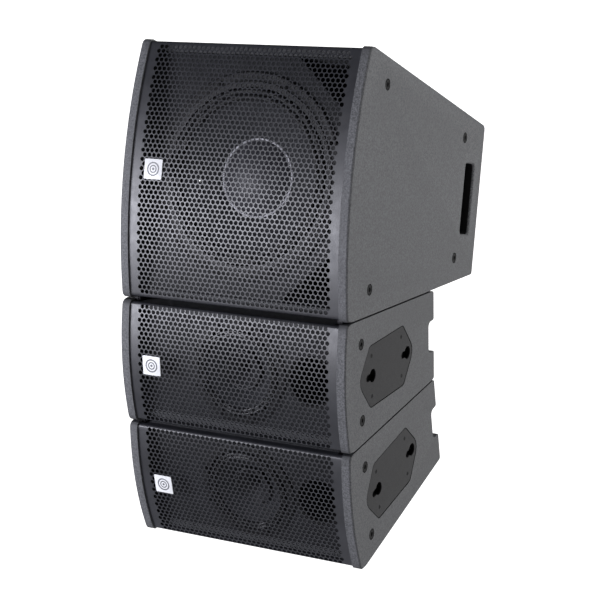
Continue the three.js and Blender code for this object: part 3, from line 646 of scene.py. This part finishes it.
def side_mark(cab):
    """A side panel is black, as painted shade, in its bolt holes and inside the hand slot or the plate's
    pocket (1), and darker, as painted shade, along the edges that lie against the next cabinet (2)."""
    bolts = BASS_BOLTS if cab is SUB else FULL_BOLTS

    def mark(face):
        centre, across = face.calc_center_median(), abs(face.normal.x)
        deep = FACE - abs(centre.x)
        if cab is SUB:
            black_shade = in_slot(centre) and across < 0.35 and deep > 7
        else:
            flat = across > 0.97 and deep < NEAR
            black_shade = in_pocket(centre) and not flat and deep < SIDE - 1
        near_bolt = any(math.hypot(centre.y - y, centre.z - z) < BOLT_HOLE for y, z in bolts)
        # painted shade: the bolt holes, the slot's deep walls and the pocket's walls take the black material
        if black_shade or near_bolt and (across < 0.97 or deep > 1):
            return 1
        # painted shade: a darker band along the edges that meet the next cabinet
        edge = cab.low_at(centre.y, 0)
        low = centre.z - edge < JOINT_EDGE
        high = cab.height - edge - centre.z < JOINT_EDGE and cab is not SUB
        return 2 if (low or high) and across < 0.95 and centre.y > 5 else 0
    return mark


def plate_groove_shade(face):
    """The plate's cut edges lie in the groove round it and are coloured black as painted shade."""
    return 1 if abs(face.normal.x) < 0.9 else 0


for side, _ in SIDES:
    refined(f"sub_side_{side}", SUB, SIDE_MATERIALS, bevel=0.9, mark=side_mark(SUB),
            soften=((slot_mouth, 4.6, 5, False), (front_rim(SUB), 4.2, 5, True)))
    for cab in FULL_RANGE:
        refined(f"{cab.name}_side_{side}", cab, SIDE_MATERIALS, bevel=0.7,
                mark=side_mark(cab), soften=((front_rim(cab), 3.6, 5, True), (pocket_rim, 1.3, 3, True)))
        refined(f"{cab.name}_keyhole_plate_{side}", cab, [STEEL, BLACK], bevel=0.9,
                segments=2, mark=plate_groove_shade)
for cab in CABINETS:
    for panel in ("top_panel", "bottom_panel", "rear_panel"):
        refined(f"{cab.name}_{panel}", cab, [PAINT], bevel=1.0)
    refined(f"{cab.name}_baffle", cab, [BAFFLE_PAINT_AND_JOINT_SHADE], bevel=1.0)
for board in ("port_board_upper", "port_board_lower", "handle_box"):
    refined(f"sub_{board}", SUB, [BLACK], bevel=0.8, segments=2)


def sink_heads(bm):
    """Lowers the CAD's plain bolt heads, so that the finished heads cover them."""
    level = OUTER - 1.9
    for v in bm.verts:
        if abs(v.co.x) > OUTER - 0.1:
            v.co.x = math.copysign(level, v.co.x)


for side, _ in SIDES:
    refined(f"sub_fly_frame_{side}", SUB, [STEEL], bevel=0.4, segments=2, edit=sink_heads)
    for cab in FULL_RANGE:
        refined(f"{cab.name}_rig_frame_{side}", cab, [STEEL], bevel=0.4, segments=2,
                edit=sink_heads)
    for cab in (SUB, MID):
        refined(f"{cab.name}_splay_pin_{side}", cab, [STEEL], bevel=0.5, segments=2)


def circle_x(x, y, z, radius, steps=24, corners=0):
    """A ring in a plane across x: round, or with that many corners."""
    ring = []
    for i in range(steps):
        a = 2 * math.pi * i / steps
        r = radius
        if corners:
            part = a % (2 * math.pi / corners) - math.pi / corners
            r = radius * math.cos(math.pi / corners) / math.cos(part)
        ring.append((x, y + r * math.cos(a), z + r * math.sin(a)))
    return ring


def socket_head(shape, sign, y, z, radius, top, thick, socket, depth):
    """A round head with a rounded rim and a six-sided socket, facing out along x."""
    lip = 0.25
    levels = [(radius, thick), (radius, 0.55), (radius - 0.2, 0.25), (radius - 0.8, 0.02),
              (radius - 1.4, 0.0), (socket * 1.35, 0.0), (socket * 1.18, 0.06)]
    rings = [circle_x(sign * (top - down), y, z, r) for r, down in levels]
    rings.append(circle_x(sign * (top - lip), y, z, socket, corners=6))
    shape.rings(rings, 0)
    sunk = [circle_x(sign * (top - down), y, z, socket, corners=6) for down in (lip, depth)]
    shape.rings(sunk, 1, cap_last=True)


for cab in CABINETS:
    for side, sign in SIDES:
        heads = Shape()
        for y, z in BASS_BOLTS if cab is SUB else FULL_BOLTS:
            socket_head(heads, sign, y, z, radius=9.7, top=OUTER + 0.15, thick=2.4, socket=4.5, depth=1.9)
        heads.build(f"{cab.name}_bolt_heads_{side}", cab, [BOLT_BLACK, BLACK], "rigging_steel")
        if cab is SUB:
            continue
        screws = Shape()
        for y, z in PLATE_SCREWS:
            socket_head(screws, sign, y, z, radius=4.3, top=OUTER + 0.26, thick=1.0, socket=2.2, depth=0.24)
        screws.build(f"{cab.name}_plate_screws_{side}", cab, [BOLT_BLACK, BLACK], "rigging_steel")

# ---- Carry bars ----------------------------------------------------------------------------------

BAR_Y, BAR_RADIUS, BAR_EDGE = 356.0, 11.0, 0.8

for cab in FULL_RANGE:
    stations = [(-SPAN, BAR_RADIUS - BAR_EDGE), (-SPAN + BAR_EDGE, BAR_RADIUS)]
    stations += [(x, BAR_RADIUS) for x in linspace(-200, 200, 9)]
    stations += [(SPAN - BAR_EDGE, BAR_RADIUS), (SPAN, BAR_RADIUS - BAR_EDGE)]
    rings = [circle_x(x, BAR_Y, cab.middle, r, 36) for x, r in stations]
    bar = Shape()
    bar.rings(rings, cap_first=True, cap_last=True)
    bar.build(f"{cab.name}_carry_tube", cab, [STEEL], "rigging_steel", replaces=(f"{cab.name}_carry_bar",))

# ---- Drivers: each section is a line of (radius, y) points, turned about the driver's axis -------


def turned_piece(name, cab, section, steps, material, slot, replaces=(), x=0.0):
    """A piece made of one closed section."""
    shape = Shape()
    shape.turned(section, x, cab.middle, steps, joined=True)
    shape.build(name, cab, [material], slot, replaces=replaces)


def face_screws(name, cab, ring, radius, front):
    """Eight pan-head screws round a driver's frame, facing the front, each with a recess."""
    section = [(radius, front), (radius, front - 0.8), (radius * 0.86, front - 1.5),
               (radius * 0.55, front - 1.9), (radius * 0.42, front - 1.9), (radius * 0.3, front - 1.2)]
    screws = Shape()
    for i in range(8):
        a = 2 * math.pi * (i + 0.5) / 8
        screws.turned(section, ring * math.cos(a), cab.middle + ring * math.sin(a), 12, cap=True)
    screws.build(name, cab, [BOLT_BLACK], "driver_frame")


def cone_line(inner, outer, back, front, curve, ribs, rib_height, rib_width, count):
    """A cone's front face, from its neck out to the surround, with raised rings pressed into it."""
    line = []
    for part in linspace(0.0, 1.0, count):
        r = inner + (outer - inner) * part
        raised = rib_height * sum(math.exp(-(((r - rib) / rib_width) ** 2)) for rib in ribs)
        line.append((r, back - (back - front) * part**curve - raised))
    return line


def tube_section(inner, outer, front, back):
    return [(inner, front), (outer, front), (outer, back), (inner, back)]


def woofer():
    z, steps = SUB.middle, 96
    basket = [(166.5, 17), (168, 16), (171, 16), (172, 16.8), (189, 16.8), (190, 16), (192.6, 16),
              (194, 17.4), (194, 21.7), (174, 21.7), (174, 44), (88, 150), (60, 150), (60, 146), (86, 146),
              (170, 43), (170, 20.6), (166.5, 20)]
    turned_piece("sub_woofer_basket", SUB, basket, steps, FRAME_BLACK, "driver_frame", ("sub_woofer_frame",))
    gasket = [(164.6, 16.2), (165.2, 14.9), (175, 14.9), (176, 16.2)]
    turned_piece("sub_woofer_gasket", SUB, gasket, steps, CLOTH, "driver_frame")
    face_screws("sub_woofer_screws", SUB, ring=182.0, radius=4.6, front=16.9)

    paper = Shape()
    cone = cone_line(40, 141, 85, 19, 0.86, ribs=(88, 100, 112, 124), rib_height=0.9, rib_width=1.8, count=41)
    paper.turned(thick_section(cone, 1.6), 0.0, z, steps, 0, joined=True)
    surround = half_roll(140.5, 151.5, 18.5, 7.5, 8) + half_roll(151.5, 163, 18.5, 8.0, 8)[1:]
    paper.turned(thick_section(surround, 1.2), 0.0, z, steps, 1, joined=True)
    paper.turned(tube_section(38.2, 40, 83, 165), 0.0, z, 48, 0, joined=True)
    eyelet, eyelet_ring = [(4.2, 37.6), (3.8, 35.6), (2.6, 34.6), (0.6, 34.2)], 110
    for a in (math.radians(176), math.radians(187)):
        x, up = eyelet_ring * math.cos(a), eyelet_ring * math.sin(a)
        paper.turned(eyelet, x, z + up, 16, 2, cap=True)
    paper.build("sub_woofer_diaphragm", SUB, [CONE, CLOTH, ZINC], "cone", "sub_cone",
                ("sub_woofer_cone",), smooth=70.0)

    cap = Shape()
    rim, dome, top = 73.0, 25.0, 36
    sphere = (rim**2 + dome**2) / (2 * dome)
    angles = linspace(0.02, math.asin(rim / sphere), 18)
    front = [(sphere * math.sin(a), top + sphere * (1 - math.cos(a))) for a in angles]
    cap.turned(thick_section(front, 1.2), 0.0, z, steps, 0, joined=True)
    around = linspace(0, 2 * math.pi, 11)[:-1]
    # a pale bead round the dust cap's rim
    bead_ring = [(rim + 3.0 * math.cos(a), 60.6 + 2.2 * math.sin(a)) for a in around]
    cap.turned(bead_ring, 0.0, z, steps, 1, joined=True)
    cap.build("sub_dust_dome", SUB, [CAP, PALE_BEAD], "dust_cap", "sub_cone", ("sub_dust_cap",), smooth=70.0)

    motor = [(0.5, 150.3), (36, 150.3), (36, 176), (42, 176), (42, 150.3), (70, 150.3), (72, 151), (72, 158),
             (89, 158), (90, 159), (90, 190), (89, 191), (74, 191), (74, 203), (73, 204), (0.5, 204)]
    turned_piece("sub_woofer_motor", SUB, motor, 64, FERRITE, "magnet", ("sub_woofer_magnet",))


def full_range_driver(cab):
    z, steps, name = cab.middle, 72, cab.name
    basket = [(86.2, 18), (87, 17), (98.8, 17), (101, 18.6), (101, 21.7), (91, 21.7), (91, 38), (58, 92),
              (30, 92), (30, 89), (56, 89), (88, 37), (88, 21.4), (86.2, 21)]
    turned_piece(f"{name}_driver_basket", cab, basket, steps, FRAME_BLACK, "driver_frame",
                 (f"{name}_driver_frame",))
    face_screws(f"{name}_driver_screws", cab, ring=94.5, radius=3.6, front=17.2)

    paper = Shape()
    cone = cone_line(26, 70, 62, 19.5, 0.88, ribs=(48, 55, 62), rib_height=0.6, rib_width=1.2, count=31)
    paper.turned(thick_section(cone, 1.2), 0.0, z, steps, 0, joined=True)
    surround = half_roll(69.7, 76.8, 19.5, 5.0, 8) + half_roll(76.8, 84, 19.5, 5.4, 8)[1:]
    paper.turned(thick_section(surround, 1.0), 0.0, z, steps, 1, joined=True)
    paper.turned(tube_section(24.6, 26, 61, 106), 0.0, z, 40, 0, joined=True)
    paper.build(f"{name}_driver_diaphragm", cab, [CONE, RUBBER], "cone", f"{name}_cone",
                (f"{name}_driver_cone",), smooth=70.0)

    horn = Shape()
    throat = [(0.4, 74), (7.4, 74), (7.6, 66), (9.5, 61), (13.2, 55.6), (18, 50.4), (24, 45.2), (30, 40.4),
              (34.6, 36.4), (35.4, 35.4)]
    rim = [(35.4, 35.4), (36.2, 35), (37.4, 35.1), (38, 36), (38, 37.6), (37, 38.4)]
    back = [(37, 38.4), (30, 44.4), (22, 51.6), (15, 60), (12, 66), (12, 92), (0.4, 92)]
    for section, mark in ((throat, 0), (rim, 1), (back, 0)):
        horn.turned(section, 0.0, z, steps, mark)
    horn.build(f"{name}_hf_flare", cab, [HORN, RIM], "horn", replaces=(f"{name}_hf_horn",), smooth=70.0)

    motor = [(0.5, 92.3), (22.5, 92.3), (22.5, 114), (28, 114), (28, 92.3), (54, 92.3), (55, 93), (55, 98),
             (64, 98), (65, 99), (65, 122), (64, 123), (56, 123), (56, 131), (55, 132), (0.5, 132)]
    turned_piece(f"{name}_driver_motor", cab, motor, 48, FERRITE, "magnet", (f"{name}_driver_magnet",))
    sleeve = [(44, 150), (44, 30), (44.4, 25), (45.6, 22.2), (47.2, 20.9), (49.6, 20.4), (50, 21.6),
              (47, 21.9), (47, 150)]
    turned_piece(f"{name}_port_sleeve", cab, sleeve, 64, PLASTIC, "port_plastic", (f"{name}_port_tube",),
                 x=PORT_X)


woofer()
for cab in FULL_RANGE:
    full_range_driver(cab)

# ---- Badges: a plain white plate with two rings and a dot ----------------------------------------

BADGE_X, BADGE_WIDTH, BADGE_HEIGHT, BADGE_THICK, BADGE_CORNER = -173.0, 39.0, 38.0, 1.6, 2.0


def rounded_rectangle(x, z, width, height, radius, y, steps=6):
    """A ring in a plane across y."""
    ring = []
    for k, (sx, sz) in enumerate(((1, 1), (-1, 1), (-1, -1), (1, -1))):
        cx, cz = x + sx * (width / 2 - radius), z + sz * (height / 2 - radius)
        for i in range(steps + 1):
            a = math.pi / 2 * (k + i / steps)
            ring.append((cx + radius * math.cos(a), y, cz + radius * math.sin(a)))
    return ring


def badge(cab):
    back = cab.front_at(cab.middle, PROUD) - FIT
    front = back - BADGE_THICK
    levels = [(back, 0.4), (back - 0.3, 0.0), (front + 0.5, 0.0), (front + 0.15, 0.15), (front, 0.5)]
    rings = [rounded_rectangle(BADGE_X, cab.middle, BADGE_WIDTH - 2 * inset, BADGE_HEIGHT - 2 * inset,
                               BADGE_CORNER, y) for y, inset in levels]
    plate = Shape()
    plate.rings(rings, 0, cap_first=True, cap_last=True)
    raised, sunk = front - 0.18, front + 0.1
    for outer, inner in ((13.2, 10.6), (7.6, 5.4)):
        section = [(inner, sunk), (inner, raised + 0.05), (inner + 0.15, raised), (outer - 0.15, raised),
                   (outer, raised + 0.05), (outer, sunk)]
        plate.turned(section, BADGE_X, cab.middle, 48, 1)
    plate.turned([(2.6, sunk), (2.5, raised)], BADGE_X, cab.middle, 32, 1, cap=True)
    plate.build(f"{cab.name}_badge_plate", cab, [WHITE, DEVICE], "badge_plate",
                replaces=(f"{cab.name}_badge",))


for cab in CABINETS:
    badge(cab)

# ---- Input plates --------------------------------------------------------------------------------

INPUT_PLATE = 3.0  # its thickness
INPUT_SCREW_X, INPUT_SCREW_Z = 66, 31
SOCKET_X, SOCKET_DEPTH, SOCKET_WALL = 36.0, 17.0, 15.5
FLANGE, FLANGE_CORNER, FLANGE_SCREW = 33, 3.0, 12.6
BORE, CONTACT_RING = 12.4, 7.4


def rear_screw(shape, x, z, y, radius):
    """A pan-head screw that faces the back."""
    section = [(radius, y), (radius, y + 0.5), (radius * 0.85, y + 1.0), (radius * 0.45, y + 1.3),
               (radius * 0.38, y + 1.3), (radius * 0.3, y + 0.6)]
    shape.turned(section, x, z, 16, 2, cap=True)


def socket_body(shape, x, z, face):
    """A square flange with rounded edges and a round bore in it."""
    flange = rounded_rectangle(x, z, FLANGE, FLANGE, FLANGE_CORNER, 0)
    quarters = [math.pi / 2 * (k + i / 6) for k in range(4) for i in range(7)]
    bore = [(BORE * math.cos(a), BORE * math.sin(a)) for a in quarters]
    rings = []
    for up, inset in ((0.0, 0.0), (1.0, 0.0), (1.4, 0.5)):
        rings.append([(px - math.copysign(inset, px - x), face + up, pz - math.copysign(inset, pz - z))
                      for px, _, pz in flange])
    for scale, up in ((1.08, 1.4), (1.0, 1.0), (1.0, -SOCKET_WALL)):
        rings.append([(x + px * scale, face + up, z + pz * scale) for px, pz in bore])
    shape.rings(rings, 0)


def input_sockets(cab):
    """Two round locking sockets, each with a square flange, a centre post and four contacts."""
    face = cab.rear_face + FIT + INPUT_PLATE
    floor = face - SOCKET_DEPTH
    z = cab.middle
    fittings = Shape()
    for x in (-SOCKET_X, SOCKET_X):
        socket_body(fittings, x, z, face)
        post = [(8.6, floor + 0.1), (8.6, face - 3.2), (8.2, face - 2.6), (6.4, face - 2.6),
                (6.2, face - 3.4)]
        fittings.turned(post, x, z, 40, 0, cap=True)
        contact = [(1.3, floor + 2), (1.3, face - 2.9), (0.9, face - 2.5)]
        for k in range(4):
            a = math.pi / 4 + math.pi / 2 * k
            fittings.turned(contact, x + CONTACT_RING * math.cos(a), z + CONTACT_RING * math.sin(a), 12, 1,
                            cap=True)
        for sign in (1, -1):
            rear_screw(fittings, x + sign * FLANGE_SCREW, z + sign * FLANGE_SCREW, face + 1.3, 2.3)
    for sx in (-1, 1):
        for sz in (-1, 1):
            rear_screw(fittings, sx * INPUT_SCREW_X, z + sz * INPUT_SCREW_Z, face, 3.4)
    fittings.build(f"{cab.name}_input_fittings", cab, [CONNECTOR, BRASS, ZINC], "input_plastic")
    refined(f"{cab.name}_input_plate", cab, [CONNECTOR], bevel=0.6, segments=2)


for cab in CABINETS:
    input_sockets(cab)

# ---- Floor, light and camera ---------------------------------------------------------------------

FLOOR_REACH, FLOOR_DROP = 120.0, 1.6
CAMERA_AZIMUTH, CAMERA_ELEVATION, CAMERA_ROLL = 27.66953, 11.15062, 0.73884  # degrees
CAMERA_PLACE = (1.459375, -2.872710, 0.202231)
CAMERA_LENS, CAMERA_SENSOR, CAMERA_FAR = 96.43, 36.0, 300.0


def pale_floor():
    """A white floor that glows as painted light, brightest towards the back and least around the object."""
    m = Nodes("floor_white", roughness=0.9, specular=0.1)
    tone = m.ranged(m.noise(0.7), 0.3, 0.7, 0.0, 1.0)
    split = m.tree.nodes.new("ShaderNodeSeparateXYZ")
    m.link(m.coords, split.inputs["Vector"])
    away = m.tree.nodes.new("ShaderNodeVectorMath")
    away.operation = "LENGTH"
    m.link(m.coords, away.inputs[0])
    around = m.ranged(away.outputs["Value"], 2.6, 7.5, 0.07, 0.42, soft=True)
    behind = m.ranged(split.outputs["Y"], 0.0, 3.0, 0.0, 0.95, soft=True)
    # painted light: the floor's glow grows with distance from the object and towards the back
    glow = m.math("ADD", behind, around)
    m.shader.inputs["Emission Color"].default_value = (1.0, 1.0, 1.0, 1.0)
    m.link(glow, m.shader.inputs["Emission Strength"])
    m.link(m.mix(tone, (0.7, 0.7, 0.7), (0.74, 0.74, 0.74)), m.shader.inputs["Base Color"])
    mesh = bpy.data.meshes.new("floor")
    level = CAD_BOX[0].z - FLOOR_DROP
    corners = [(sx * FLOOR_REACH, sy * FLOOR_REACH, level) for sx, sy in ((-1, -1), (1, -1), (1, 1), (-1, 1))]
    mesh.from_pydata(corners, [], [(0, 1, 2, 3)])
    mesh.materials.append(m.material)
    floor = bpy.data.objects.new("floor", mesh)
    bpy.context.scene.collection.objects.link(floor)


def studio():
    """A room with a white wall behind the object and darker walls and ceiling elsewhere."""
    world = bpy.data.worlds.new("studio")
    bpy.context.scene.world = world
    world.use_nodes = True
    nodes, links = world.node_tree.nodes, world.node_tree.links
    coords = nodes.new("ShaderNodeTexCoord")
    split = nodes.new("ShaderNodeSeparateXYZ")
    links.new(coords.outputs["Generated"], split.inputs["Vector"])

    def fade(axis, low, high, start, end):
        node = nodes.new("ShaderNodeMapRange")
        node.interpolation_type = "SMOOTHSTEP"
        set_range(node, low, high, start, end)
        links.new(split.outputs[axis], node.inputs["Value"])
        return node.outputs["Result"]

    def joined(operation, a, b):
        node = nodes.new("ShaderNodeMath")
        node.operation = operation
        links.new(a, node.inputs[0])
        links.new(b, node.inputs[1])
        return node.outputs[0]

    wall = joined("MULTIPLY", fade("Y", 0.1, 0.75, 0.0, 1.0), fade("Z", 0.1, 0.45, 1.0, 0.0))
    room = joined("ADD", wall, fade("Z", 0.05, 0.35, 0.3, 0.1))
    nodes["Background"].inputs["Color"].default_value = (1.0, 1.0, 1.0, 1.0)
    links.new(room, nodes["Background"].inputs["Strength"])


def soft_light(name, place, aim, width, height, power, colour=(1.0, 1.0, 1.0)):
    """A rectangular light that faces a point."""
    data = bpy.data.lights.new(name, "AREA")
    data.shape, data.size, data.size_y, data.energy = "RECTANGLE", width, height, power
    data.color = colour
    light = bpy.data.objects.new(name, data)
    light.location = place
    light.rotation_mode = "QUATERNION"
    light.rotation_quaternion = (Vector(aim) - Vector(place)).to_track_quat("-Z", "Y")
    bpy.context.scene.collection.objects.link(light)


def camera():
    """The photo's camera, as fitted to the cabinets' corners."""
    azimuth, elevation, roll = (math.radians(v) for v in (CAMERA_AZIMUTH, CAMERA_ELEVATION, CAMERA_ROLL))
    back = Vector((math.sin(azimuth) * math.cos(elevation), -math.cos(azimuth) * math.cos(elevation),
                   math.sin(elevation)))
    right = Vector((0, 0, 1)).cross(back).normalized()
    up = back.cross(right)
    across = math.cos(roll) * right + math.sin(roll) * up
    upright = -math.sin(roll) * right + math.cos(roll) * up
    data = bpy.data.cameras.new("camera")
    data.sensor_width, data.lens, data.clip_end = CAMERA_SENSOR, CAMERA_LENS, CAMERA_FAR
    obj = bpy.data.objects.new("camera", data)
    turn = Matrix((across, upright, back)).transposed().to_4x4()
    obj.matrix_world = Matrix.Translation(CAMERA_PLACE) @ turn
    bpy.context.scene.collection.objects.link(obj)
    bpy.context.scene.camera = obj


pale_floor()
studio()
soft_light("key_left", place=(-1.45, -2.25, -0.32), aim=(0.0, -0.35, -0.4), width=1.7, height=0.85,
           power=76.0, colour=(0.9, 0.905, 1.0))
soft_light("fill_right", place=(2.2, 0.4, 1.2), aim=(0.2, 0.0, -0.3), width=1.4, height=1.2, power=25.0)
camera()
bpy.context.scene.view_settings.view_transform = "Standard"
